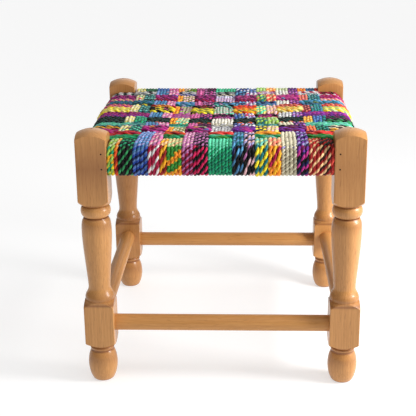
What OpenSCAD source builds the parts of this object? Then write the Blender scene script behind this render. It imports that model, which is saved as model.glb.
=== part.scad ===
// A low square stool: turned legs, seat rails, round stretchers and a cord seat woven in
// nine warp bands (front to back) over and under nine weft rows (left to right).
// Millimetres, +Z up, +X to the right, front towards -Y. The origin is on the floor,
// under the middle of the seat.

/* [Frame] */
// Distance between the axes of neighbouring legs
leg_pitch = 371; // [350:1:390]
// Height of the domed tops of the legs
height = 400; // [395:0.5:425]
// Side of the square leg stock
stock = 45; // [44:0.5:46]
// Radius of the softened long edges of the stock
stock_round = 1.2; // [0.5:0.1:2]

/* [Seat rails] */
// Height of a rail
rail_h = 37; // [34:0.5:40]
// Thickness of a rail
rail_t = 28; // [24:0.5:29]
// How far a rail lies behind the outer faces of the legs
rail_inset = 6; // [5:0.5:8]
// Radius of a rail's upper outer edge
rail_round = 16; // [10:0.5:18]
// Radius of a rail's lower outer edge
rail_round_low = 5; // [3:0.5:8]
// Thickness of a rail's tenon
tenon_t = 14; // [12:0.5:14]
// Length of a rail's tenon
tenon_l = 18; // [14:0.5:18]

/* [Stretchers] */
// Diameter of a stretcher
stretcher_d = 25; // [22:0.5:27]
// Height of the front stretcher's axis
front_stretcher_z = 94.4; // [90:0.2:98]
// Height of the rear stretcher's axis
rear_stretcher_z = 92.4; // [90:0.2:98]
// Height of the left and right stretchers' axes
side_stretcher_z = 103; // [99:0.5:106]
// Diameter of a stretcher's round tenon
dowel_d = 15; // [12:0.5:16]
// Length of a stretcher's round tenon
dowel_l = 14; // [10:0.5:14]

/* [Nails] */
// Diameter of a nail's head
head_d = 2.6; // [1.8:0.1:3]
// Diameter of a nail's shank
shank_d = 1.4; // [1.2:0.1:1.6]
// Length of a nail
nail_l = 20; // [16:0.5:22]
// Distance from a leg's inner face to its nails
nail_edge = 7.6; // [6:0.2:10]

/* [Seat] */
// Number of warp bands, and of weft rows
cells = 9; // [9]
// Thickness of a band of cord
band_t = 5; // [4.5:0.1:5.5]
// Clear gap between neighbouring bands
band_gap = 4.2; // [3.6:0.1:5]

/* [Hidden] */
$fn = 64;

wood = [0.78, 0.55, 0.32];
pale_wood = [0.82, 0.62, 0.40];
nail_colour = [0.20, 0.17, 0.15];
warp_colours = ["seagreen", "royalblue", "darkorange", "palevioletred", "mediumseagreen",
                "steelblue", "gold", "mediumpurple", "indianred"];
weft_colours = ["dimgray", "mediumvioletred", "teal", "salmon", "purple",
                "darkgreen", "mediumaquamarine", "darkmagenta", "tomato"];

// Quarter turns about Z that take the front left leg and the front pieces to the others
FRONT = 0;
RIGHT = 1;
REAR = 2;
LEFT = 3;

// Heights on a leg
collar_z = 52;                 // bottom of the collar over the foot
block_z = [56.4, 141.4];       // lowest and highest points of the lower block's shoulder balls
lip_z = 132;                   // lip that rises out of the lower block
bead_z = 276.6;                // middle of the bead under the upper block
bead_r = 22.4;
bead_half = 9.5;
upper_z = 280.2;               // lowest point of the upper block's shoulder ball

// Turned shoulders, each part of a ball
foot_shoulder_r = 54;          // bottom of the lower block
cap_shoulder_r = 40;           // top of the lower block, bottom of the upper one
dome_r = 45;                   // top of the leg
core_r = 17;                   // turned core inside the blocks

// Depth and width of the lathe's centre mark in the dome
mark_h = 1.6;
mark_r = 1.6;

field = leg_pitch - stock;     // clear width between the legs
cell = field / cells;
band_w = cell - band_gap;
rail_out = leg_pitch / 2 + stock / 2 - rail_inset;
seat_z = height - 22;          // middle of the weave
rail_top = seat_z - band_t / 2;
rail_bottom = rail_top - rail_h;
under_z = rail_bottom - band_t / 2;
tenon_axis = rail_out - 13;    // middle of a rail's tenon
tenon_z = [rail_bottom + 3, rail_top - 3.5];
nail_z = [rail_bottom + 6.1, rail_top - 8.3];
nail_x = field / 2 + nail_edge;
head_h = 0.8;
head_depth = 0.3;              // a head lies this far below the wood
arc_steps = 6;

// Points of an arc about centre c, from angle a to angle b
function arc(c, r, a, b, steps = arc_steps) =
  [for (k = [0:steps]) let (t = a + (b - a) * k / steps) c + r * [cos(t), sin(t)]];

// Points of a smooth curve through the points p, with n points to each stretch
function smooth(p, n = 5) = [
  for (i = [0:len(p) - 2], k = [0:n - 1])
    let (t = k / n, a = p[max(i - 1, 0)], b = p[i], c = p[i + 1], d = p[min(i + 2, len(p) - 1)])
      0.5 * (2 * b + (c - a) * t + (2 * a - 5 * b + 4 * c - d) * t * t
             + (3 * b - a - 3 * c + d) * t * t * t),
  p[len(p) - 1]
];

// Outline, as [radius, height], of the foot and its collar, up into the lower block
foot_line = concat(
  [[0, 0], [13.8, 0]],
  smooth([[14.8, 0.5], [16.5, 2.2], [18.4, 6], [20.3, 11.5], [22, 20.5], [22.4, 29.5],
          [21.3, 39.5], [19.2, 46.5], [17.5, 50]]),
  arc([15.6, collar_z + 2.6], 3, -52, 62, 8),
  [[core_r, collar_z + 6], [core_r, 90], [0, 90]]
);

// Outline of the vase between the blocks, from its lip to the neck under the bead
vase_line = concat(
  [[0, 110], [core_r, 110], [core_r, lip_z - 4]],
  smooth([[20.6, lip_z - 1], [21.7, lip_z + 3], [22.2, lip_z + 7], [20.9, lip_z + 11.6],
          [18.6, lip_z + 15.8], [16.9, lip_z + 20.4], [16.6, lip_z + 25], [17.2, lip_z + 36],
          [18.3, lip_z + 49], [20.8, lip_z + 79], [22.1, lip_z + 99], [22.4, lip_z + 112],
          [22.2, lip_z + 121], [21, lip_z + 128.4], [18.4, lip_z + 133.8]], 4),
  [[17.2, bead_z - bead_half - 0.4]],
  [for (t = [-80:16:80]) [bead_r - 6.4 + 6.4 * cos(t), bead_z + bead_half * sin(t)]],
  [[core_r, bead_z + bead_half], [core_r, upper_z + 40], [0, upper_z + 40]]
);

// Half the angle of a ball of radius r that just takes in the corners of the stock
function reach(r) = asin(stock / sqrt(2) / r);

// Outline of a block's turned ends: balls of radius low_r and high_r that reach z[0] and z[1]
// on the leg's axis
function block_line(z, low_r, high_r) = concat(
  [for (h = [0:10]) let (t = reach(low_r) * h / 10) [low_r * sin(t), z[0] + low_r * (1 - cos(t))]],
  [for (h = [10:-1:0]) let (t = reach(high_r) * h / 10)
    [high_r * sin(t), z[1] - high_r * (1 - cos(t))]]
);

module turned(line) {
  rotate_extrude($fn = 96) polygon(line);
}

module stock_bar(z) {
  half = stock / 2 - stock_round;
  translate([0, 0, z[0]]) linear_extrude(z[1] - z[0]) polygon([
    for (k = [0:3]) each arc(half * [[1, 1], [-1, 1], [-1, -1], [1, -1]][k], stock_round,
                             90 * k, 90 * k + 90, 4)
  ]);
}

// Square block of the leg, with turned ends
module block(z, low_r, high_r) {
  intersection() {
    stock_bar([z[0] - 5, z[1] + 5]);
    turned(block_line(z, low_r, high_r));
  }
}

// Nail hole along +Y from the outer face at y = 0
module nail_hole(d, h) {
  rotate([-90, 0, 0]) cylinder(d = d, h = h, $fn = 24);
}

// The nail holes of the front rail, in its own place
module rail_nail_holes() {
  for (side = [-1, 1], z = nail_z)
    translate([side * nail_x, -rail_out - rail_inset, z]) {
      nail_hole(shank_d, nail_l);
      nail_hole(head_d, head_h + head_depth);
    }
}

// Both tenons of the front rail, in their own place
module rail_tenons() {
  for (side = [-1, 1])
    translate([side * (field / 2 + tenon_l / 2 - 1), -tenon_axis, (tenon_z[0] + tenon_z[1]) / 2])
      cube([tenon_l + 2, tenon_t, tenon_z[1] - tenon_z[0]], center = true);
}

// Both tenons of the front stretcher, in their own place
module stretcher_tenons(z) {
  translate([0, -leg_pitch / 2, z]) rotate([0, 90, 0])
    cylinder(d = dowel_d, h = field + 2 * dowel_l, center = true);
}

// Rail and stretcher ends that enter the legs on one side of the stool
module side_joints(z) {
  rail_tenons();
  rail_nail_holes();
  stretcher_tenons(z);
}

// Height of a side's stretcher, by quarter turns from the front
function stretcher_height(turn) =
  [front_stretcher_z, side_stretcher_z, rear_stretcher_z, side_stretcher_z][turn % 4];

module leg(turn) {
  color(wood) difference() {
    rotate(90 * turn) translate([-leg_pitch / 2, -leg_pitch / 2, 0]) {
      turned(foot_line);
      block(block_z, foot_shoulder_r, cap_shoulder_r);
      turned(vase_line);
      difference() {
        block([upper_z, height], cap_shoulder_r, dome_r);
        translate([0, 0, height - mark_h])
          cylinder(r1 = 0.4, r2 = mark_r, h = mark_h + 0.05, $fn = 32);
      }
    }
    rotate(90 * turn) side_joints(stretcher_height(turn));
    rotate(90 * (turn + 3)) side_joints(stretcher_height(turn + 3));
  }
}

module seat_rail(turn) {
  low = [rail_out - rail_round_low, rail_bottom + rail_round_low];
  high = [rail_out - rail_round, rail_top - rail_round];
  color(pale_wood) rotate(90 * turn) difference() {
    union() {
      rotate([90, 0, -90]) linear_extrude(field, center = true) polygon(concat(
        [[rail_out - rail_t, rail_bottom]],
        arc(low, rail_round_low, -90, 0),
        arc(high, rail_round, 0, 90),
        [[rail_out - rail_t, rail_top]]
      ));
      rail_tenons();
    }
    rail_nail_holes();
  }
}

module stretcher(turn) {
  color(wood) rotate(90 * turn) {
    translate([0, -leg_pitch / 2, stretcher_height(turn)]) rotate([0, 90, 0])
      cylinder(d = stretcher_d, h = field, center = true);
    stretcher_tenons(stretcher_height(turn));
  }
}

module rail_nails() {
  color(nail_colour) for (turn = [FRONT:LEFT], side = [-1, 1], z = nail_z)
    rotate(90 * turn) translate([side * nail_x, -rail_out - rail_inset + head_depth, z]) {
      nail_hole(head_d, head_h);
      nail_hole(shank_d, nail_l - head_depth);
    }
}

// 1 where the warp lies on the outside of the weave, -1 where the weft does
function warp_side(band, row) = (band + row) % 2 == 1 ? 1 : -1;

// Closed outline of a band's loop round two rails, grow away from the band's middle.
// sides tells, for each cell, whether the band lies outside (1) or inside (-1).
function loop_line(sides, grow) =
  let (
    r = rail_round + band_t / 2 + grow,
    r_low = rail_round_low + band_t / 2 + grow,
    high = [rail_out - rail_round, rail_top - rail_round],
    low = [rail_out - rail_round_low, rail_bottom + rail_round_low],
    inner = rail_out - rail_t,
    lift = band_t / 2
  )
  concat(
    [for (k = [cells - 1:-1:0], e = [1, -1])
      [(k + 0.5) * cell - field / 2 + e * band_w / 2, seat_z + lift * sides[k] + grow]],
    [[-inner, seat_z + grow]],
    arc([-high[0], high[1]], r, 90, 180),
    arc([-low[0], low[1]], r_low, 180, 270),
    [[-inner, under_z - grow]],
    [for (k = [0:cells - 1], e = [-1, 1])
      [(k + 0.5) * cell - field / 2 + e * band_w / 2, under_z - lift * sides[k] - grow]],
    [[inner, under_z - grow]],
    arc(low, r_low, -90, 0),
    arc(high, r, 0, 90),
    [[inner, seat_z + grow]]
  );

module band_loop(sides) {
  rotate([90, 0, 0]) linear_extrude(band_w, center = true) difference() {
    polygon(loop_line(sides, band_t / 2));
    polygon(loop_line(sides, -band_t / 2));
  }
}

module warp_band(i) {
  color(warp_colours[i - 1]) translate([(i - 0.5) * cell - field / 2, 0, 0]) rotate(-90)
    band_loop([for (row = [1:cells]) warp_side(i, row)]);
}

module weft_row(j) {
  color(weft_colours[j - 1]) translate([0, field / 2 - (j - 0.5) * cell, 0])
    band_loop([for (band = [1:cells]) -warp_side(band, j)]);
}

leg(FRONT);  // leg_front_left
leg(RIGHT);  // leg_front_right
leg(REAR);  // leg_rear_right
leg(LEFT);  // leg_rear_left
seat_rail(FRONT);  // seat_rail_front
seat_rail(RIGHT);  // seat_rail_right
seat_rail(REAR);  // seat_rail_rear
seat_rail(LEFT);  // seat_rail_left
stretcher(FRONT);  // stretcher_front
stretcher(RIGHT);  // stretcher_right
stretcher(REAR);  // stretcher_rear
stretcher(LEFT);  // stretcher_left
rail_nails();
warp_band(1);  // warp_band_1
warp_band(2);  // warp_band_2
warp_band(3);  // warp_band_3
warp_band(4);  // warp_band_4
warp_band(5);  // warp_band_5
warp_band(6);  // warp_band_6
warp_band(7);  // warp_band_7
warp_band(8);  // warp_band_8
warp_band(9);  // warp_band_9
weft_row(1);  // weft_row_1
weft_row(2);  // weft_row_2
weft_row(3);  // weft_row_3
weft_row(4);  // weft_row_4
weft_row(5);  // weft_row_5
weft_row(6);  // weft_row_6
weft_row(7);  // weft_row_7
weft_row(8);  // weft_row_8
weft_row(9);  // weft_row_9
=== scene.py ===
"""A low stool of turned, lacquered wood with a seat woven from multicoloured twisted cord.

The legs, rails, stretchers and nails are the CAD frame's own meshes. Each warp band and weft row
is built here as six or seven cords, of two or three plies, that lie close to where the CAD's plain
ribbon loop lies. Lengths are in metres, unless a name or a comment says otherwise.
"""

import math

import bpy
import numpy as np
from mathutils import Matrix, Vector


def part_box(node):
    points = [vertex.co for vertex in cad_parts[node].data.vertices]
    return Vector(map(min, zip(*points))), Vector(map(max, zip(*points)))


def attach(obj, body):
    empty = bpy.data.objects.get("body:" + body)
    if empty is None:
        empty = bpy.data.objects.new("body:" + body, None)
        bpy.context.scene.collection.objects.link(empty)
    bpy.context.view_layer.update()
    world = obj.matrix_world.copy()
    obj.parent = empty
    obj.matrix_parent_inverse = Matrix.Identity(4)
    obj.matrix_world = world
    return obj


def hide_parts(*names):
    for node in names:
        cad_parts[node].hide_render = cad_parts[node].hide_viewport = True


CELLS = 9  # warp bands, and weft rows
MM = 0.001
WARP_SEED, WEFT_SEED = 100, 200  # a band's number is added

# The twisted cord
RING = 1.6 * MM  # distance between rings of a cord's mesh
SECTION_POINTS = 12  # points of a cord's section
# Distance of each ply's middle from the cord's, and the ply's radius, in cord radii
PLY_SHAPES = {2: (0.40, 0.68), 3: (0.46, 0.62)}
PLY_GAP = 0.07  # radians by which a ply's arc stops short of the valley to the next ply
PHASE = 0.45  # turns by which the twist of the next cord to the right is ahead
PHASE_SPREAD = 0.7  # random part of a cord's phase, in radians
TWIST_SPREAD = 0.4  # random unevenness of its twist along the cord, in radians
SLANT = 0.11  # cells by which its changes of yarn lie further up the front face
FRONT_FACE = (-2.9, -1.1)  # cells from the weave's front edge between which SLANT counts
THREAD_GAP = 0.05  # distance between neighbouring cords on the map of the plies

# The rails that the cords bend round
BEND_R = 16 * MM  # radius of their upper outer edge
BEND_R_LOW = 5 * MM  # radius of their lower outer edge
BEND_STEPS = 12

# How the weave moves about its middle plane
DIVE = 2.9 * MM  # half-length of the stretch where a cord changes sides
FULL = 0.55  # a cord's radius in pitches, so that neighbours are squeezed together
PRESSED = 0.72  # how far, in radii, the tight weave keeps a cord from the middle plane
PILLOW = 0.5 * MM  # rise in the middle of each cell
ARCH = 0.8  # how much of half a wave the rise follows from one edge of a band to the other
SAG = 6.0 * MM  # how far the middle of the seat has sunk
SAG_MARGIN = 8 * MM  # how far outside the weave the sag starts
DRIFT = 0.8 * MM  # random shift of a band at each dive
STRAY = 0.4 * MM  # random shift of one cord at each dive
WOBBLE = 0.2 * MM  # random unevenness of a cord, sideways and in height
SLOW, FAST = 24, 40  # number of waves in the unevenness of the twist, and of the cord's place
SETTLE = 0.5  # cells in from the weave's edge at which the squeeze and the shifts are full
TOUCH = 0.9  # pitches between cords, below which they ride over each other
FACE_PLACE = -1.2  # cells from the weave's front edge at which a band's pitch is measured
# Rise of both groups of the slacker weft rows
PROUD = {3: (1.3, 1.3), 8: (3.0, 2.8), 9: (3.4, 0.7)}
# Share of their width that a whole band, and then each of its groups, lose at a dive
WARP_PINCH = (0.03, 0.07)
WEFT_PINCH = (0.08, 0.22)
SLACK_PINCH = (0.25, 0.5)
# How far the weave is from an even grid, in mm. The rows' edges, from the front to the rear, lie
# this far to the rear. The bands' edges, from left to right, lie this far to the right, at four
# places in cells from the weave's front edge: the front face, the seat's front and rear, the back.
ROW_EDGES = (-4.0, -4.5, -1.5, -10.0, -9.5, -12.5, 0, -1.5, 3.0, -3.0)
EDGE_PLACES = (-1.2, 0.8, 8.4, 10.2)
BAND_EDGES = (
    (0, 1.0, 3.4, -1.0, 0.5, -1.0, -4.6, -3.4, -0.4, 0),
    (9.0, 7.5, 7.0, 0.5, 0.5, -1.0, -4.6, -3.4, -0.4, -3.0),
    (9.0, 6.0, 9.0, 4.0, 0.5, -1.0, 0, -3.4, -0.4, 0),
    (0, 2.0, 3.0, 1.0, 0, 0, 0, -1.0, 0, 0),
)

# How a cord's yarns vary
SLUBS = 0.8  # odd-coloured stretches to a cord on the seat's top, on average
SLUB_LENGTH = (0.2, 0.5)  # in cells
CHANGE_SPREAD = 0.03  # random shift of each change of yarn, in cells
SHADE_SPREAD = 0.09  # random part of each yarn's brightness

# Yarn colours, as sRGB
YARNS = {
    "cream": (0.86, 0.83, 0.72),
    "white": (0.90, 0.89, 0.88),
    "stone": (0.70, 0.66, 0.56),
    "grey": (0.62, 0.63, 0.64),
    "black": (0.02, 0.02, 0.03),
    "brown": (0.22, 0.10, 0.07),
    "emerald": (0.13, 0.66, 0.45),
    "mint": (0.38, 0.83, 0.66),
    "sea": (0.12, 0.52, 0.40),
    "green": (0.20, 0.58, 0.34),
    "leaf": (0.22, 0.54, 0.20),
    "dark green": (0.04, 0.25, 0.20),
    "pale green": (0.72, 0.82, 0.58),
    "lime": (0.60, 0.76, 0.32),
    "olive": (0.55, 0.58, 0.22),
    "yellow": (0.95, 0.86, 0.18),
    "butter": (0.93, 0.87, 0.50),
    "amber": (0.95, 0.68, 0.14),
    "orange": (0.95, 0.55, 0.16),
    "flame": (0.91, 0.33, 0.12),
    "red": (0.86, 0.14, 0.12),
    "brick": (0.62, 0.12, 0.12),
    "coral": (0.88, 0.30, 0.25),
    "salmon": (0.92, 0.52, 0.42),
    "peach": (0.95, 0.77, 0.56),
    "navy": (0.07, 0.10, 0.30),
    "royal": (0.16, 0.30, 0.66),
    "cornflower": (0.36, 0.49, 0.72),
    "steel": (0.26, 0.46, 0.62),
    "sky": (0.36, 0.64, 0.82),
    "teal": (0.06, 0.42, 0.44),
    "light teal": (0.42, 0.74, 0.68),
    "lavender": (0.66, 0.64, 0.84),
    "pink": (0.92, 0.46, 0.66),
    "pale pink": (0.93, 0.74, 0.76),
    "rose": (0.80, 0.30, 0.55),
    "hot pink": (0.82, 0.12, 0.34),
    "crimson": (0.66, 0.08, 0.25),
    "burgundy": (0.42, 0.07, 0.20),
    "mauve": (0.74, 0.44, 0.66),
    "magenta": (0.72, 0.17, 0.52),
    "plum": (0.42, 0.08, 0.32),
    "violet": (0.46, 0.17, 0.62),
}

# Each band is a list of groups of cords, as (number of cords, lay, stretches), from left to right
# in a warp band and from the rear to the front in a weft row. The lay is the length in mm of one
# full turn of a ply. A stretch is a start and then the yarn of each ply: a group's cords are of
# two or three plies. The start is in cells along the band: warp bands count from the front edge
# of the weave and weft rows from its left edge, so a band lies on the seat from 0 to 9 and wraps
# round the rails from -2.3 to 0 and from 9 to 11.3.
# Many groups change yarn near -1 cell, where the band turns from the front face onto the top. That
# change is painted light: paler yarns for the sheen on the top, and darker yarns for the shade on
# the front face.
WARP = [
    [
        (2, 17, [(-3, "yellow", "lime"), (-1.95, "emerald", "yellow"), (-1.7, "amber", "lime"),
                 (-1.3, "emerald", "lime"), (-1.0, "pale green", "lime"),
                 (-0.1, "butter", "cream"), (9.4, "pale green", "butter")]),
        (1, 16, [(-3, "flame", "brick"), (-1.15, "flame", "orange"), (-0.95, "orange", "peach"),
                 (-0.1, "cream", "butter"), (9.4, "butter", "olive")]),
        (4, 14.5, [(-3, "black", "black", "green"), (-0.95, "dark green", "emerald", "black"),
                   (1, "dark green", "teal", "mint"), (2.4, "green", "teal", "emerald"),
                   (5, "teal", "black", "light teal"), (9, "black", "dark green", "green")]),
    ],
    [
        (4, 10, [(-3, "navy", "royal", "cornflower"), (-1.15, "steel", "royal", "cornflower"),
                 (-0.95, "cornflower", "sky", "lavender"), (1.6, "steel", "sky", "steel"),
                 (9, "cornflower", "steel", "royal")]),
        (3, 19, [(-3, "crimson", "crimson", "white"), (-0.95, "pink", "mauve", "pale pink"),
                 (0.8, "pink", "mauve", "pale pink"), (9, "pink", "mauve", "rose")]),
    ],
    [
        (2, 22, [(-3, "amber", "brick"), (-0.95, "amber", "peach"), (0.6, "orange", "amber"),
                 (9, "orange", "amber")]),
        (4, 14, [(-3, "orange", "amber"), (-1.9, "leaf", "leaf"), (-1.6, "orange", "amber"),
                 (-1.28, "leaf", "leaf"), (-0.98, "pale green", "peach"),
                 (0.8, "olive", "cream"), (2.6, "mint", "peach"), (4.6, "lime", "mauve"),
                 (6.6, "olive", "pale pink"), (9, "leaf", "olive")]),
    ],
    [
        (3, 10, [(-3, "burgundy", "crimson", "mauve"), (-1.3, "burgundy", "mauve", "mauve"),
                 (-0.98, "mauve", "mauve", "pale pink"), (0.8, "mauve", "rose", "pink"),
                 (9, "mauve", "rose", "plum")]),
        (4, 13, [(-3, "hot pink", "black"), (-0.98, "black", "mauve"), (0.9, "black", "plum"),
                 (3.9, "rose", "navy"), (6, "black", "mauve"), (9, "plum", "black")]),
    ],
    [
        (7, 9.5, [(-3, "emerald", "sea"), (-1.15, "emerald", "mint"), (-0.98, "mint", "mint"),
                  (0.8, "white", "grey"), (2.6, "white", "cream"), (4.6, "pale pink", "mint"),
                  (6.6, "pale pink", "lavender"), (7.6, "white", "lavender"),
                  (8.6, "emerald", "mint")]),
    ],
    [
        (3, 24, [(-3, "black", "black", "steel"), (-1.3, "black", "navy", "sky"),
                 (-0.98, "steel", "teal", "sky"), (0.9, "royal", "lavender", "navy"),
                 (3.6, "royal", "cornflower", "steel"), (6, "steel", "navy", "sky"),
                 (9, "navy", "white", "royal")]),
        (3, 24, [(-3, "black", "black", "pale pink"), (-1.4, "black", "black", "mauve"),
                 (-0.98, "pale pink", "black", "lavender"), (0.9, "lavender", "white", "black"),
                 (4.2, "lavender", "rose", "white"), (8.6, "royal", "steel", "white")]),
    ],
    [
        (3, 18.5, [(-3, "yellow", "teal"), (-0.95, "pale green", "light teal"),
                   (0.6, "yellow", "navy"), (2.6, "lime", "teal"), (4.6, "butter", "mint"),
                   (6.6, "teal", "lime"), (9, "lime", "pale green")]),
        (3, 22, [(-3, "amber", "orange"), (-1.7, "crimson", "amber"), (-1.15, "orange", "amber"),
                 (-0.95, "salmon", "peach"), (0.6, "pale pink", "butter"),
                 (2.8, "pale green", "lime"), (4.6, "peach", "pale pink"), (6.6, "peach", "coral"),
                 (9, "orange", "peach")]),
    ],
    [
        (4, 9.5, [(-3, "stone", "cream"), (-1.08, "lavender", "cream"), (-1.0, "cream", "cream"),
                  (4, "white", "grey"), (5, "cream", "white"), (9, "cream", "pale green")]),
        (3, 17, [(-3, "navy", "black", "magenta"), (-1.25, "violet", "plum", "magenta"),
                 (-0.98, "violet", "navy", "lavender"), (1, "violet", "navy", "mauve"),
                 (3, "mauve", "lavender", "violet"), (6, "plum", "mauve", "violet"),
                 (9, "plum", "violet", "navy")]),
    ],
    [
        (3, 14, [(-3, "brick", "brick", "peach"), (-0.98, "red", "brick", "peach"),
                 (0.8, "orange", "salmon", "flame"), (2.6, "amber", "orange", "butter"),
                 (4.6, "crimson", "salmon", "brown"), (6.6, "orange", "rose", "salmon"),
                 (9, "orange", "amber", "flame")]),
        (3, 14, [(-3, "brick", "brown", "peach"), (-0.98, "brown", "dark green", "red"),
                 (0.8, "teal", "emerald", "black"), (2.6, "royal", "steel", "cornflower"),
                 (4.6, "teal", "steel", "emerald"), (6.6, "teal", "light teal", "navy"),
                 (9, "teal", "royal", "steel")]),
        (1, 15.5, [(-3, "coral", "brick"), (-0.98, "brown", "brick"), (0.8, "teal", "dark green"),
                   (4.6, "steel", "teal"), (9, "coral", "red")]),
    ],
]

WEFT = [
    [
        (4, 15, [(-3, "black", "white"), (1, "white", "navy"), (4, "black", "grey"),
                 (6, "white", "mauve"), (7.6, "crimson", "white"), (9, "crimson", "black")]),
        (3, 13, [(-3, "dark green", "grey"), (1, "navy", "lavender"), (4, "black", "cream"),
                 (6, "navy", "peach"), (7.6, "teal", "white"), (9, "crimson", "white")]),
    ],
    [
        (5, 15, [(-3, "magenta", "plum"), (1, "magenta", "plum"), (4.6, "plum", "rose"),
                 (7, "magenta", "rose"), (9, "magenta", "crimson")]),
        (2, 13, [(-3, "rose", "peach"), (1, "plum", "crimson"), (7, "plum", "magenta"),
                 (8.6, "pale pink", "salmon")]),
    ],
    [
        (4, 16, [(-3, "teal", "steel"), (1, "navy", "steel"), (2, "steel", "sky"),
                 (4, "black", "teal"), (6, "steel", "navy"), (8, "teal", "sky")]),
        (3, 18, [(-3, "teal", "black"), (1, "royal", "navy"), (2, "steel", "teal"),
                 (4, "light teal", "black"), (6, "teal", "cornflower"),
                 (8, "steel", "dark green")]),
    ],
    [
        (3, 15, [(-3, "salmon", "magenta"), (1, "brick", "amber"), (3, "brick", "black"),
                 (5, "flame", "red"), (7, "brick", "salmon"), (9, "salmon", "red")]),
        (4, 20, [(-3, "yellow", "butter"), (1, "yellow", "black"), (3, "yellow", "olive"),
                 (5, "amber", "flame"), (7, "amber", "butter"), (9, "yellow", "pale green")]),
    ],
    [
        (4, 14, [(-3, "magenta", "plum"), (1, "magenta", "mauve"), (4, "plum", "black"),
                 (6, "magenta", "black"), (8, "violet", "magenta")]),
        (3, 14, [(-3, "magenta", "violet"), (1.8, "mauve", "mauve"), (4, "magenta", "plum"),
                 (6, "crimson", "rose"), (8, "violet", "plum")]),
    ],
    [
        (4, 16, [(-3, "dark green", "black"), (9, "dark green", "plum")]),
        (3, 16, [(-3, "black", "dark green"), (9, "black", "green")]),
    ],
    [
        (4, 17, [(-3, "light teal", "mint"), (0.3, "light teal", "teal"), (1.2, "emerald", "teal"),
                 (4, "cream", "grey"), (6, "light teal", "teal"), (8, "light teal", "mint")]),
        (3, 17, [(-3, "light teal", "navy"), (0.2, "white", "black"), (2, "light teal", "mint"),
                 (4, "navy", "white"), (6, "teal", "black"), (8, "light teal", "emerald")]),
    ],
    [
        (3, 22, [(-3, "amber", "black"), (1, "magenta", "plum"), (5, "plum", "violet"),
                 (7, "plum", "black"), (8.4, "orange", "cream"), (9, "brown", "cream")]),
        (4, 27, [(-3, "magenta", "crimson"), (1, "plum", "magenta"), (3, "magenta", "plum"),
                 (5, "magenta", "violet"), (7, "violet", "plum"), (8.4, "amber", "brown")]),
    ],
    [
        (4, 30, [(-3, "red", "crimson"), (2, "flame", "brick"), (4, "red", "coral"),
                 (6, "orange", "amber"), (8, "coral", "red")]),
        (3, 34, [(-3, "emerald", "green"), (2, "leaf", "green"), (4, "mint", "emerald"),
                 (6, "emerald", "green"), (8, "leaf", "green")]),
    ],
]


# The yarn's surface
FIBRE_STRETCH = (140, 2600, 1)  # waves of the fibres per metre, along and across a ply
FIBRE_DEPTH = 0.25 * MM
CORD_SPECULAR = 0.22
CORD_SHEEN = 0.05

# The wood. Its noises are in waves per metre: the sway of the rings, the broad changes of tone, the
# fibres and the pores.
SWAY_SCALE, BROAD_SCALE, FIBRE_SCALE, PORE_SCALE = 11, 16, 950, 1300
SWAY = 0.016  # how far the rings sway, in metres
RING_SCALE = 520  # growth rings, in waves per metre from the pith
RING_SHARE, FIBRE_SHARE = 0.30, 0.70  # of the wood's figure
GRAIN_DEPTH = 0.08 * MM
WOOD_SPECULAR = 0.26
LACQUER_ROUGHNESS = 0.2
LEG_LACQUER, STRETCHER_LACQUER = 0.42, 0.08  # weight of the clear coat
# The dark colour of the lathe's centre mark, and of the painted shade on the legs
MARK_AND_SHADE = (0.44, 0.22, 0.09)  # sRGB
PORE = (0.34, 0.18, 0.09)  # sRGB
PIT_RADIUS, PIT_EDGE = 1.2 * MM, 2.6 * MM  # where the lathe's mark starts to fade, and its edge
# Painted shade: where a leg's turning is darker, as (height in mm, half-width in mm, strength)
TURNING_SHADE = [(0, 3, 0.8), (38, 14, 0.3), (51, 3, 0.8), (56, 3, 0.5), (130, 3, 0.6), (138, 13, 0.35),
           (256, 14, 0.3), (266.5, 2.5, 0.85), (286.5, 3.5, 0.7)]
# Painted shade on each leg's square top and, on two legs, all over, for the shade the legs lie in
LEG_PAINTED_SHADE = {
    "front_left": [(345, 60, 0.52)],
    "front_right": [(345, 60, 0.24), (200, 400, 0.12)],
    "rear_right": [(345, 60, 0.7)],
    "rear_left": [(345, 60, 0.5), (200, 400, 0.3)],
}
# The tones of lacquered and of bare wood, from the dark of the figure to the light, as sRGB
HONEY = [(0.0, (0.685, 0.473, 0.256)), (0.45, (0.765, 0.540, 0.305)),
         (1.0, (0.835, 0.618, 0.375))]
BARE = [(0.0, (0.68, 0.50, 0.32)), (0.5, (0.78, 0.62, 0.42)), (1.0, (0.88, 0.74, 0.55))]

# The studio's light, as strengths of a white world: what the camera sees, a dome that is brightest
# overhead, and three broad glows, from the right, from above and from behind, each the direction it
# comes from and its strength
BACKDROP = 0.965
DOME = 0.61
GLOWS = [((0.96, 0.0, 0.28), 1.75), ((0.2, -0.3, 0.93), 1.0), ((0.0, 0.93, 0.37), 1.2)]
GLOW_POWER = 12.0  # the higher, the smaller each glow
KEY_PLACE = (0.85, -0.30, 0.60)
KEY_TARGET = (0.05, 0, 0.22)
KEY_SIZE = (0.3, 0.4)
KEY_WATTS = 11.2
FLOOR_SIZE = 16
FLOOR_WHITE = 0.52
FLOOR_GLOW = 0.575

# The camera. Its angles are in degrees, upward, to the right and anticlockwise. Its lens and sensor
# are in mm.
CAMERA_PLACE = (0.0398, -1.5425, 0.7377)
CAMERA_ANGLES = (-18.65, -2.48, -0.69)
CAMERA_LENS = 84.20
CAMERA_SENSOR = 36


def linear(srgb):
    """An sRGB colour as linear values."""
    return tuple(c / 12.92 if c <= 0.04045 else ((c + 0.055) / 1.055) ** 2.4 for c in srgb)


# ---------------------------------------------------------------- material nodes


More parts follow.
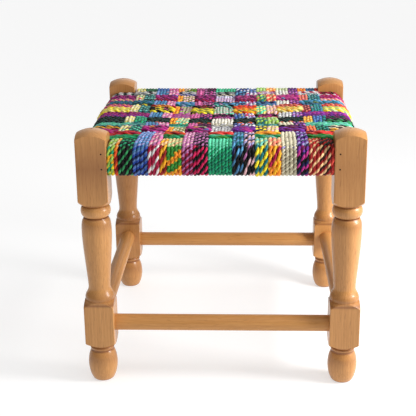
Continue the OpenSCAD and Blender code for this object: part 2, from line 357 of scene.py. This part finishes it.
class Nodes:
    """Makes the nodes of one material."""

    def __init__(self, name):
        self.material = bpy.data.materials.new(name)
        self.material.use_nodes = True
        self.tree = self.material.node_tree
        self.shader = self.tree.nodes["Principled BSDF"]

    def add(self, kind, settings=None, **inputs):
        """A node of that kind, with its properties set and its inputs set or linked by name."""
        node = self.tree.nodes.new("ShaderNode" + kind)
        for key, value in (settings or {}).items():
            setattr(node, key, value)
        for key, value in inputs.items():
            self.put(node.inputs[key.replace("_", " ")], value)
        return node

    def put(self, socket, value):
        """Links an output to socket, or sets its constant."""
        if isinstance(value, bpy.types.NodeSocket):
            self.tree.links.new(value, socket)
        else:
            socket.default_value = value

    def maths(self, operation, a, b=0.0):
        node = self.add("Math", {"operation": operation})
        self.put(node.inputs[0], a)
        self.put(node.inputs[1], b)
        return node.outputs[0]

    def spread(self, value, low, high, to_low, to_high):
        """value, taken from low..high to to_low..to_high."""
        node = self.add("MapRange", None, Value=value)
        node.inputs["From Min"].default_value = low
        node.inputs["From Max"].default_value = high
        node.inputs["To Min"].default_value = to_low
        node.inputs["To Max"].default_value = to_high
        return node.outputs[0]

    def scaled(self, vector, scale, shift=(0, 0, 0)):
        node = self.add("Mapping", None, Vector=vector)
        node.inputs["Scale"].default_value = scale
        node.inputs["Location"].default_value = shift
        return node.outputs[0]

    def noise(self, vector, scale, detail, rough=0.5):
        node = self.add("TexNoise", None, Vector=vector, Scale=scale, Detail=detail,
                        Roughness=rough)
        return node.outputs["Fac"]

    def ramp(self, value, stops):
        node = self.add("ValToRGB", None, Fac=value)
        ramp = node.color_ramp
        for k, (place, srgb) in enumerate(stops):
            stop = ramp.elements[k] if k < 2 else ramp.elements.new(place)
            stop.position = place
            stop.color = (*linear(srgb), 1)
        return node.outputs["Color"]

    def mixed(self, kind, factor, a, b):
        """Colours a and b blended in the given way, through the Mix node's colour sockets."""
        node = self.add("Mix", {"data_type": "RGBA", "blend_type": kind})
        self.put(node.inputs[0], factor)
        self.put(node.inputs[6], a)
        self.put(node.inputs[7], b)
        return node.outputs[2]

    def bump(self, height, distance, strength):
        node = self.add("Bump", None, Height=height, Distance=distance, Strength=strength)
        return node.outputs["Normal"]


def wood_material(name, grain, shift, tones, lacquer, shade_bands=(), pit=None):
    """Fine straight-grained wood. grain is the axis (0, 1 or 2) that it runs along.

    shift moves the pattern from piece to piece, and tones are its colours. lacquer is the weight of
    the clear coat. The bands of painted shade, which darken the wood round given heights, come as
    (height in mm, half-width in mm, strength). pit is the point where the lathe's centre left a
    small dark mark.
    """
    n = Nodes(name)
    place = n.add("TexCoord").outputs["Object"]

    def along(stretch):
        """A scale that draws a pattern out along the grain."""
        return tuple(1 / stretch if axis == grain else 1 for axis in range(3))

    # growth rings about a pith that lies well outside the piece, seen as soft, wandering lines
    sway = n.noise(n.scaled(place, along(5), shift), SWAY_SCALE, 2)
    flat = n.scaled(place, along(1000), tuple(0.09 + 0.01 * value for value in shift))
    reach = n.add("VectorMath", {"operation": "LENGTH"})
    n.put(reach.inputs[0], flat)
    ring = n.maths("ADD", reach.outputs["Value"], n.maths("MULTIPLY", sway, SWAY))
    lines = n.add("TexNoise", {"noise_dimensions": "1D"}, W=ring, Scale=RING_SCALE, Detail=2,
                  Roughness=0.6)
    broad = n.noise(n.scaled(place, along(5), shift), BROAD_SCALE, 2)
    fibres = n.noise(n.scaled(place, along(40), shift), FIBRE_SCALE, 2, 0.6)
    pores = n.noise(n.scaled(place, along(18), shift), PORE_SCALE, 1)
    figure = n.maths("ADD", n.maths("MULTIPLY", lines.outputs["Fac"], RING_SHARE),
                     n.maths("MULTIPLY", fibres, FIBRE_SHARE))
    colour = n.ramp(n.spread(figure, 0.2, 0.8, 0, 1), tones)
    light = n.spread(broad, 0.3, 0.7, 0.9, 1.08)
    tint = n.add("CombineColor", None, Red=light, Green=light, Blue=light).outputs[0]
    colour = n.mixed("MULTIPLY", 1.0, colour, tint)
    pore = n.spread(pores, 0.62, 0.76, 0, 0.38)
    colour = n.mixed("MIX", pore, colour, (*linear(PORE), 1))
    height = n.add("SeparateXYZ", None, Vector=place).outputs["Z"]
    # painted shade: the wood darkens towards the dark colour round each band's height
    for level, half_width, strength in shade_bands:
        away = n.maths("ABSOLUTE", n.maths("SUBTRACT", height, level * MM))
        dark = n.spread(away, 0, half_width * MM, strength, 0)
        colour = n.mixed("MIX", dark, colour, (*linear(MARK_AND_SHADE), 1))
    if pit:
        away = n.add("VectorMath", {"operation": "DISTANCE"})
        n.put(away.inputs[0], place)
        away.inputs[1].default_value = pit
        mark = n.spread(away.outputs["Value"], PIT_RADIUS, PIT_EDGE, 0.75, 0)
        colour = n.mixed("MIX", mark, colour, (*linear(MARK_AND_SHADE), 1))
    n.put(n.shader.inputs["Base Color"], colour)
    n.put(n.shader.inputs["Roughness"], n.spread(fibres, 0.3, 0.7, 0.40, 0.50))
    grain_height = n.maths("SUBTRACT", n.maths("MULTIPLY", fibres, 0.5), pore)
    n.put(n.shader.inputs["Normal"], n.bump(grain_height, GRAIN_DEPTH, 0.4))
    n.shader.inputs["Specular IOR Level"].default_value = WOOD_SPECULAR
    n.shader.inputs["Coat Weight"].default_value = lacquer
    n.shader.inputs["Coat Roughness"].default_value = LACQUER_ROUGHNESS
    return n.material


def steel_material():
    """Dark, oxidised nail steel."""
    n = Nodes("nail_steel")
    place = n.add("TexCoord").outputs["Object"]
    spots = n.noise(place, 2600, 3)
    colour = n.ramp(spots, [(0.3, (0.09, 0.07, 0.07)), (0.7, (0.22, 0.16, 0.13))])
    n.put(n.shader.inputs["Base Color"], colour)
    n.put(n.shader.inputs["Roughness"], n.spread(spots, 0.3, 0.7, 0.5, 0.8))
    n.shader.inputs["Metallic"].default_value = 0.8
    return n.material


def cord_material():
    """Spun yarn: its own colour, broken up by fibres that follow the ply."""
    n = Nodes("twisted_cord")
    yarn = n.add("Attribute", {"attribute_name": "yarn"}).outputs["Color"]
    ply = n.add("UVMap", {"uv_map": "ply"}).outputs[0]
    place = n.add("TexCoord").outputs["Object"]
    fibres = n.noise(n.scaled(ply, FIBRE_STRETCH), 1, 3, 0.6)
    slubs = n.noise(place, 190, 2)
    light = n.maths("MULTIPLY", n.spread(fibres, 0.3, 0.7, 0.72, 1.22),
                    n.spread(slubs, 0.3, 0.7, 0.84, 1.12))
    tint = n.add("CombineColor", None, Red=light, Green=light, Blue=light).outputs[0]
    colour = n.mixed("MULTIPLY", 1.0, yarn, tint)
    n.put(n.shader.inputs["Base Color"], colour)
    n.put(n.shader.inputs["Roughness"], n.spread(fibres, 0.3, 0.7, 0.62, 0.44))
    n.put(n.shader.inputs["Normal"], n.bump(fibres, FIBRE_DEPTH, 0.7))
    n.shader.inputs["Sheen Weight"].default_value = CORD_SHEEN
    n.shader.inputs["Sheen Roughness"].default_value = 0.4
    n.shader.inputs["Specular IOR Level"].default_value = CORD_SPECULAR
    return n.material


# ---------------------------------------------------------------- the weave


class Seat:
    """The room that the weave fills, taken from the CAD frame."""

    def __init__(self):
        left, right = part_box("leg_front_left"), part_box("leg_front_right")
        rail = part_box("seat_rail_front")
        self.field = right[0].x - left[1].x  # clear width between the legs
        self.cell = self.field / CELLS
        self.out = -rail[0].y  # outer face of a rail
        self.low, self.top = rail[0].z, rail[1].z
        self.even = np.arange(CELLS + 1) * self.cell - self.field / 2
        self.row_edges = self.even + np.array(ROW_EDGES) * MM

    def band_edges(self, q):
        """The edges of the warp bands, from left to right, at each q cells from the front."""
        moves = [np.interp(q, EDGE_PLACES, column) for column in zip(*BAND_EDGES)]
        return [even + move * MM for even, move in zip(self.even, moves)]

    def cells_along(self, s, edges):
        """s as a number of cells from the first of the edges."""
        far = 2 * self.cell
        places = [edges[0] - far, *edges, edges[-1] + far]
        return np.interp(s, places, [-2, *range(CELLS + 1), CELLS + 2])

    def sag(self, x, y):
        """How far the seat has sunk at a point."""
        reach = self.field / 2 + SAG_MARGIN
        across = np.clip(1 - (x / reach) ** 2, 0, None)
        return SAG * across * np.clip(1 - (y / reach) ** 2, 0, None)

    def loop(self, radius):
        """Points, outward normals and distances round the seat once, radius off the rails.

        The loop starts in the middle of the underside and runs up the -s side, over the seat and
        down the +s side. Points are (s, z) pairs.
        """
        corners = [
            (-self.out + BEND_R_LOW, self.low + BEND_R_LOW, BEND_R_LOW, 270, 180),
            (-self.out + BEND_R, self.top - BEND_R, BEND_R, 180, 90),
            (self.out - BEND_R, self.top - BEND_R, BEND_R, 90, 0),
            (self.out - BEND_R_LOW, self.low + BEND_R_LOW, BEND_R_LOW, 0, -90),
        ]
        points, normals = [(0.0, self.low)], [(0.0, -1.0)]
        for s, z, r, start, end in corners:
            for k in range(BEND_STEPS + 1):
                a = math.radians(start + (end - start) * k / BEND_STEPS)
                points.append((s + r * math.cos(a), z + r * math.sin(a)))
                normals.append((math.cos(a), math.sin(a)))
        points.append((0.0, self.low))
        normals.append((0.0, -1.0))
        centre = np.array(points) + radius * np.array(normals)
        gone = np.concatenate([[0], np.cumsum(np.hypot(*np.diff(centre, axis=0).T))])
        rings = int(round(gone[-1] / RING))
        at = np.arange(rings) * gone[-1] / rings
        place = np.column_stack([np.interp(at, gone, centre[:, k]) for k in (0, 1)])
        normal = np.column_stack([np.interp(at, gone, np.array(normals)[:, k]) for k in (0, 1)])
        normal /= np.linalg.norm(normal, axis=1)[:, None]
        return place, normal, at, gone[-1]


class Band:
    """One warp band or weft row: where it lies, its cords and how loosely they lie.

    sides holds the side of the weave that it lies on in each cell, and crossed the edges that it
    crosses. own_edges gives its left and right edges at a number of cells along the loop. pinch is
    the width it loses at a dive, and rises the rise of each group in the middle of a cell.
    """

    def __init__(self, seat, sides, groups, crossed, own_edges, pinch, rises, seed):
        self.seat, self.sides, self.groups = seat, sides, groups
        self.pinch, self.rises = pinch, rises
        self.rng = np.random.default_rng(seed)
        cords = sum(group[0] for group in groups)
        left, right = own_edges(FACE_PLACE)
        self.pitch = float(right - left) / cords
        self.radius = FULL * self.pitch
        self.place, self.normal, self.at, self.length = seat.loop(self.radius)
        self.flat = np.abs(self.normal[:, 1]) > 0.99
        self.flat &= np.abs(self.place[:, 0]) < seat.out - BEND_R
        self.on_top = self.flat & (self.normal[:, 1] > 0)
        self.v = seat.cells_along(self.place[:, 0], crossed)
        q = (self.at - self.length / 2) / seat.cell + CELLS / 2
        self.q = np.where(self.on_top, self.v, q)
        left, right = own_edges(q)
        self.middle = (left + right) / 2
        self.width = cords * self.pitch
        self.stretch = (right - left) / self.width
        self.drift = wander(self.rng, self.v, DRIFT)

    def lanes(self):
        """Each cord as (place across the band, middle of its group, group number)."""
        first = (self.pitch - self.width) / 2
        for number, (cords, _, _) in enumerate(self.groups):
            middle = first + (cords - 1) / 2 * self.pitch
            for k in range(cords):
                yield first + k * self.pitch, middle, number
            first += cords * self.pitch


def smooth_step(x):
    """0 below 0 and 1 above 1, with an even curve between."""
    x = np.clip(x, 0, 1)
    return x * x * (3 - 2 * x)


def side_profile(sides, v, half):
    """The side of the weave a band lies on, 1 outside and -1 inside, at v cells along it.

    It is 0 beyond the weave, where the cords lie on the rails.
    """
    levels = [0, *sides, 0]
    value = np.zeros_like(v)
    for k in range(CELLS + 1):
        change = levels[k + 1] - levels[k]
        value += change * smooth_step((v - k) / (2 * half) + 0.5)
    return value


def soft_noise(rng, at, length, waves, size):
    """A smooth closed wobble along a loop."""
    total = np.zeros_like(at)
    for count in range(2, waves):
        angle = 2 * math.pi * (count * at / length + rng.random())
        total += rng.normal() * np.cos(angle) / math.sqrt(waves)
    return size * total


def wander(rng, v, size):
    """A random sideways shift at each dive, carried smoothly over the cells between."""
    knots = rng.normal(0, size, CELLS + 1)
    knots[[0, CELLS]] = 0
    k = np.clip(np.floor(v), 0, CELLS - 1).astype(int)
    return knots[k] + (knots[k + 1] - knots[k]) * smooth_step(v - k)


def yarn_colours(stretches, q, slant, rng):
    """The linear colour of each ply at each q, in cells along the band.

    slant moves the changes on the front face.
    """
    low, high = FRONT_FACE
    stretches = [(start + slant * (low < start < high), *yarns) for start, *yarns in stretches]
    for _ in range(rng.poisson(SLUBS)):
        start = rng.uniform(0, CELLS)
        before = [stretch for stretch in stretches if stretch[0] < start][-1]
        odd = list(YARNS)[rng.integers(len(YARNS))]
        stretches += [(start, odd, *before[2:]), (start + rng.uniform(*SLUB_LENGTH), *before[1:])]
        stretches.sort()
    starts = np.array([s[0] for s in stretches])
    starts = starts + rng.normal(0, CHANGE_SPREAD, len(stretches))
    which = np.clip(np.searchsorted(starts, q, side="right") - 1, 0, len(stretches) - 1)
    plies = []
    for ply in range(1, len(stretches[0])):
        colours = np.array([linear(YARNS[s[ply]]) for s in stretches])
        shade = np.exp(rng.normal(0, SHADE_SPREAD, len(stretches)))[:, None]
        plies.append((colours * shade)[which])
    return np.array(plies)


def section(radius, plies):
    """A cord's section: points, and the ply that each span after a point belongs to."""
    offset, lobe = PLY_SHAPES[plies]
    half = math.pi / plies
    valley = offset * math.cos(half) + math.sqrt(lobe ** 2 - (offset * math.sin(half)) ** 2)
    arc = math.atan2(valley * math.sin(half), valley * math.cos(half) - offset) - PLY_GAP
    points, ply = [], []
    each = SECTION_POINTS // plies
    for side in range(plies):
        turn = 2 * half * side
        for k in range(each):
            a = turn - arc + 2 * arc * k / (each - 1)
            points.append((offset * math.cos(turn) + lobe * math.cos(a),
                           offset * math.sin(turn) + lobe * math.sin(a)))
            ply.append(side)
    return radius * np.array(points), np.array(ply)


def cord_rings(band, lane, middle, number, parity):
    """The rings of one cord's mesh, as an array (ring, point, (lateral, s, z)).

    lane is the cord's place across the band, and middle the middle of its group. parity is 1 or
    -1, and differs between neighbouring cords.
    """
    seat, rng, at, length, v = band.seat, band.rng, band.at, band.length, band.v
    s, z = band.place.T
    side = np.where(band.flat, side_profile(band.sides, v, DIVE / seat.cell), 0)
    inside = band.flat & (v > 0) & (v < CELLS)
    hump = np.where(inside, np.abs(np.sin(math.pi * v)), 0)
    edge = np.where(inside, smooth_step(v / SETTLE) * smooth_step((CELLS - v) / SETTLE), 0)
    rise = band.rises[number] * math.cos(ARCH * math.pi * lane / band.width)
    lift = side * (PRESSED * band.radius + rise * hump)
    lift = lift + soft_noise(rng, at, length, FAST, WOBBLE)
    closed = edge * (1 - hump)
    room = band.stretch * (1 - band.pinch[1] * closed)
    lateral = middle * band.stretch * (1 - band.pinch[0] * closed) + (lane - middle) * room
    lateral += band.middle + soft_noise(rng, at, length, FAST, WOBBLE)
    lateral += edge * (band.drift + wander(rng, v, STRAY))
    centre = np.column_stack([lateral, s + lift * band.normal[:, 0], z + lift * band.normal[:, 1]])
    centre[:, 2] -= np.where(band.on_top, seat.sag(lateral, s), 0)
    # where the cords close up, every other one rides over its neighbours
    over = 0.5 * band.pitch * np.sqrt(np.clip(TOUCH ** 2 - room ** 2, 0, None))
    ahead = np.roll(centre, -1, axis=0) - np.roll(centre, 1, axis=0)
    ahead /= np.linalg.norm(ahead[:, 1:], axis=1)[:, None]
    up = np.column_stack([np.zeros_like(over), -ahead[:, 2], ahead[:, 1]])
    centre += (parity * over)[:, None] * up
    ahead = np.roll(centre, -1, axis=0) - np.roll(centre, 1, axis=0)
    ahead /= np.linalg.norm(ahead, axis=1)[:, None]
    outward = np.cross(np.array([1.0, 0.0, 0.0]), ahead)
    outward /= np.linalg.norm(outward, axis=1)[:, None]
    beside = np.cross(ahead, outward)
    lay = band.groups[number][1] * MM
    phase = 2 * math.pi * PHASE * lane / band.pitch + rng.normal(0, PHASE_SPREAD)
    turns = round(length / lay)
    twist = phase - 2 * math.pi * turns * at / length
    twist = twist + soft_noise(rng, at, length, SLOW, TWIST_SPREAD)
    shape, ply = section(band.radius, len(band.groups[number][2][0]) - 1)
    x = shape[:, 0] * np.cos(twist)[:, None] - shape[:, 1] * np.sin(twist)[:, None]
    y = shape[:, 0] * np.sin(twist)[:, None] + shape[:, 1] * np.cos(twist)[:, None]
    rings = centre[:, None] + x[..., None] * beside[:, None] + y[..., None] * outward[:, None]
    return rings, ply


def band_mesh(name, band):
    """One band's mesh in its own (lateral, s, z) frame."""
    points, faces, colours, plies = [], [], [], []
    count = 0
    for k, (lane, middle, number) in enumerate(band.lanes()):
        rings, ply = cord_rings(band, lane, middle, number, 1 if k % 2 else -1)
        n, m = rings.shape[:2]
        a = np.arange(n)[:, None] * m + np.arange(m)[None]
        b = np.roll(a, -1, axis=0)
        quads = np.stack([a, np.roll(a, -1, axis=1), np.roll(b, -1, axis=1), b], axis=-1)
        slant = SLANT * (lane - middle) / band.pitch
        yarns = yarn_colours(band.groups[number][2], band.q, slant, band.rng)
        face_colours = yarns[ply].transpose(1, 0, 2)
        step = band.length / n
        thread = band.radius / 3
        u = np.broadcast_to(np.arange(n)[:, None] * step, (n, m))
        w = np.broadcast_to(np.arange(m)[None] * thread + k * THREAD_GAP, (n, m))
        corner = [(u, w), (u, w + thread), (u + step, w + thread), (u + step, w)]
        points.append(rings.reshape(-1, 3))
        faces.append(quads.reshape(-1, 4) + count)
        colours.append(face_colours.reshape(-1, 3))
        plies.append(np.stack([np.stack(c, axis=-1) for c in corner], axis=2).reshape(-1, 2))
        count += n * m
    mesh = bpy.data.meshes.new(name)
    points, faces = np.concatenate(points), np.concatenate(faces)
    mesh.vertices.add(len(points))
    mesh.loops.add(faces.size)
    mesh.polygons.add(len(faces))
    mesh.vertices.foreach_set("co", points.astype(np.float32).ravel())
    mesh.loops.foreach_set("vertex_index", faces.astype(np.int32).ravel())
    mesh.polygons.foreach_set("loop_start", np.arange(0, faces.size, 4, dtype=np.int32))
    mesh.polygons.foreach_set("use_smooth", np.ones(len(faces), bool))
    mesh.update(calc_edges=True)
    uv = mesh.uv_layers.new(name="ply")
    uv.data.foreach_set("uv", np.concatenate(plies).astype(np.float32).ravel())
    paint = mesh.color_attributes.new("yarn", "FLOAT_COLOR", "CORNER")
    rgba = np.ones((faces.size, 4), np.float32)
    rgba[:, :3] = np.repeat(np.concatenate(colours), 4, axis=0)
    paint.data.foreach_set("color", rgba.ravel())
    return mesh


def warp_side(band, row):
    """1 where the warp lies outside the weft, -1 where it lies inside."""
    return 1 if (band + row) % 2 else -1


def add_band(node, band, place, material):
    """Shows a band's cords in place of the CAD's ribbon, node."""
    mesh = band_mesh(node + "_cords", band)
    mesh.transform(place)
    mesh.update()
    mesh.materials.append(material)
    piece = bpy.data.objects.new(node + "_cords", mesh)
    bpy.context.scene.collection.objects.link(piece)
    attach(piece, "root")
    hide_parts(node)


def weave(material):
    """The seat's cords."""
    seat = Seat()
    # (lateral, s, z) to (x, y, z): a warp band runs from front to rear, so s is y
    for i in range(1, CELLS + 1):
        sides = [warp_side(i, CELLS + 1 - k) for k in range(1, CELLS + 1)]
        band = Band(seat, sides, WARP[i - 1], seat.row_edges,
                    lambda q, i=i: seat.band_edges(q)[i - 1:i + 1],
                    WARP_PINCH, [PILLOW] * 3, WARP_SEED + i)
        add_band(f"warp_band_{i}", band, Matrix(), material)
    # a weft row runs from left to right, so s is x, and its lateral axis points to the front
    turn = Matrix.Rotation(math.radians(-90), 4, "Z")
    for j in range(1, CELLS + 1):
        sides = [-warp_side(i, j) for i in range(1, CELLS + 1)]
        rises = [rise * MM for rise in PROUD[j]] if j in PROUD else [PILLOW] * 2
        pinch = SLACK_PINCH if j in PROUD else WEFT_PINCH
        front, rear = seat.row_edges[CELLS - j], seat.row_edges[CELLS - j + 1]
        band = Band(seat, sides, WEFT[j - 1], seat.band_edges(CELLS + 0.5 - j),
                    lambda q, front=front, rear=rear: (-rear + 0 * q, -front + 0 * q),
                    pinch, rises, WEFT_SEED + j)
        add_band(f"weft_row_{j}", band, turn, material)


# ---------------------------------------------------------------- the frame's woods


def dress(node, material):
    """Gives a CAD node one material."""
    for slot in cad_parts[node].material_slots:
        slot.material = material


def dress_frame():
    """Woods for the legs, stretchers and rails, and steel for the nails."""
    # each leg's painted shade joins the painted shade of its turning
    for k, (corner, leg_shade) in enumerate(LEG_PAINTED_SHADE.items()):
        shift = (0.7 * k, 1.3 * k, 0.4 * k)
        low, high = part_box("leg_" + corner)
        pit = ((low.x + high.x) / 2, (low.y + high.y) / 2, high.z)
        dress("leg_" + corner, wood_material("leg_wood_" + corner, 2, shift, HONEY, LEG_LACQUER,
                                             TURNING_SHADE + leg_shade, pit))
    for k, (side, grain) in enumerate([("front", 0), ("right", 1), ("rear", 0), ("left", 1)]):
        shift = (2.1 * k, 0.9, 1.7 * k)
        dress("stretcher_" + side, wood_material("stretcher_wood_" + side, grain, shift, HONEY,
                                                 STRETCHER_LACQUER))
        dress("seat_rail_" + side, wood_material("rail_wood_" + side, grain, shift, BARE, 0))
    dress("rail_nails", steel_material())


# ---------------------------------------------------------------- the studio


def floor():
    """A white floor that glows a little, so that shadows on it stay light."""
    bpy.ops.mesh.primitive_plane_add(size=FLOOR_SIZE)
    plane = bpy.context.object
    plane.name = "floor"
    n = Nodes("floor_white")
    n.shader.inputs["Base Color"].default_value = (FLOOR_WHITE, FLOOR_WHITE, FLOOR_WHITE, 1)
    n.shader.inputs["Roughness"].default_value = 0.8
    n.shader.inputs["Specular IOR Level"].default_value = 0.0
    n.shader.inputs["Emission Color"].default_value = (1, 1, 1, 1)
    n.shader.inputs["Emission Strength"].default_value = FLOOR_GLOW
    plane.data.materials.append(n.material)


def key_light():
    """A small white lamp at the upper right, which casts the soft-edged shadows."""
    data = bpy.data.lights.new("key", "AREA")
    data.shape = "RECTANGLE"
    data.size, data.size_y = KEY_SIZE
    data.energy = KEY_WATTS
    lamp = bpy.data.objects.new("key", data)
    bpy.context.scene.collection.objects.link(lamp)
    lamp.location = KEY_PLACE
    way = Vector(KEY_TARGET) - Vector(KEY_PLACE)
    lamp.rotation_euler = way.to_track_quat("-Z", "Y").to_euler()


def studio():
    """A white backdrop for the camera, and soft light from above, the right and behind."""
    world = bpy.data.worlds.new("studio")
    bpy.context.scene.world = world
    world.use_nodes = True
    tree = world.node_tree

    def maths(operation, a, b):
        node = tree.nodes.new("ShaderNodeMath")
        node.operation = operation
        for socket, value in zip(node.inputs, (a, b)):
            if isinstance(value, bpy.types.NodeSocket):
                tree.links.new(value, socket)
            else:
                socket.default_value = value
        return node.outputs[0]

    direction = tree.nodes.new("ShaderNodeTexCoord").outputs["Generated"]
    height = tree.nodes.new("ShaderNodeSeparateXYZ")
    tree.links.new(direction, height.inputs[0])
    light = maths("MULTIPLY", maths("MAXIMUM", height.outputs["Z"], 0.0), DOME)
    for source, power in GLOWS:
        facing = tree.nodes.new("ShaderNodeVectorMath")
        facing.operation = "DOT_PRODUCT"
        tree.links.new(direction, facing.inputs[0])
        facing.inputs[1].default_value = Vector(source).normalized()
        glow = maths("POWER", maths("MAXIMUM", facing.outputs["Value"], 0.0), GLOW_POWER)
        light = maths("ADD", light, maths("MULTIPLY", glow, power))
    seen = tree.nodes.new("ShaderNodeLightPath").outputs["Is Camera Ray"]
    unseen = maths("SUBTRACT", 1.0, seen)
    strength = maths("ADD", maths("MULTIPLY", unseen, light), maths("MULTIPLY", seen, BACKDROP))
    tree.links.new(strength, tree.nodes["Background"].inputs["Strength"])
    tree.nodes["Background"].inputs["Color"].default_value = (1, 1, 1, 1)
    bpy.context.scene.view_settings.view_transform = "Standard"


def camera():
    """The view of a square picture from a little right of the front, above the seat."""
    data = bpy.data.cameras.new("camera")
    data.sensor_width = CAMERA_SENSOR
    data.lens = CAMERA_LENS
    seen = bpy.data.objects.new("camera", data)
    bpy.context.scene.collection.objects.link(seen)
    seen.location = CAMERA_PLACE
    pitch, yaw, roll = (math.radians(angle) for angle in CAMERA_ANGLES)
    look = Vector((math.sin(yaw) * math.cos(pitch), math.cos(yaw) * math.cos(pitch),
                   math.sin(pitch)))
    right = Vector((math.cos(yaw), -math.sin(yaw), 0))
    up = right.cross(look)
    right, up = (right * math.cos(roll) + up * math.sin(roll),
                 up * math.cos(roll) - right * math.sin(roll))
    seen.rotation_euler = Matrix((right, up, -look)).transposed().to_euler()
    bpy.context.scene.camera = seen


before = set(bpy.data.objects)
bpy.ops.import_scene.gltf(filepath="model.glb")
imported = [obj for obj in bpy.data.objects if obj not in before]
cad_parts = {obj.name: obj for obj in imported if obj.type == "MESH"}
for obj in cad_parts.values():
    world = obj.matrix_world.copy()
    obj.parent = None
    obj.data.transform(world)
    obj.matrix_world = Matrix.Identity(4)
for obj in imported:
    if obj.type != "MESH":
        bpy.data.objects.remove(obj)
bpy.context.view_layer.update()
dress_frame()
weave(cord_material())
floor()
studio()
key_light()
camera()
